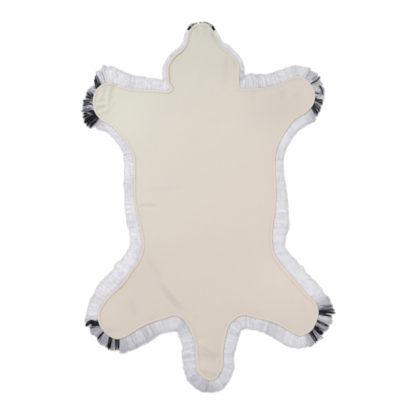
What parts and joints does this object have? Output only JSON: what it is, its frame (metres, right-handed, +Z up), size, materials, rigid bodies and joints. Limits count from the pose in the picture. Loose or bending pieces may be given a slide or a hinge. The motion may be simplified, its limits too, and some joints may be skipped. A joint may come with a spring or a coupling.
{
  "type": "animal shaped rug",
  "caption": "Rug in the outline of an animal skin, lying back up: hemmed backing cloth over long shaggy pile that shows all round as a rim of locks, with shorter pile at the head.",
  "frame": {"origin": "centre of the bounding box in plan, at the level of the floor that the pile rests on", "axes": "+Y from tail to nose, +X to the right seen from above with the nose up, +Z up out of the backing cloth"},
  "size_m": [0.633, 0.9426, 0.0188],
  "materials": {
    "cream_cloth": "smooth matt woven cloth, edge turned under and topstitched",
    "long_white_pile": "long straight cool-white pile",
    "short_white_pile": "short cool-white pile",
    "short_black_pile": "short black pile"
  },
  "bodies": {
    "root": {"backing": "cream_cloth", "body_pile": "long_white_pile", "head_pile": "short_white_pile", "muzzle_pile": "short_black_pile"}
  },
  "joints": []
}
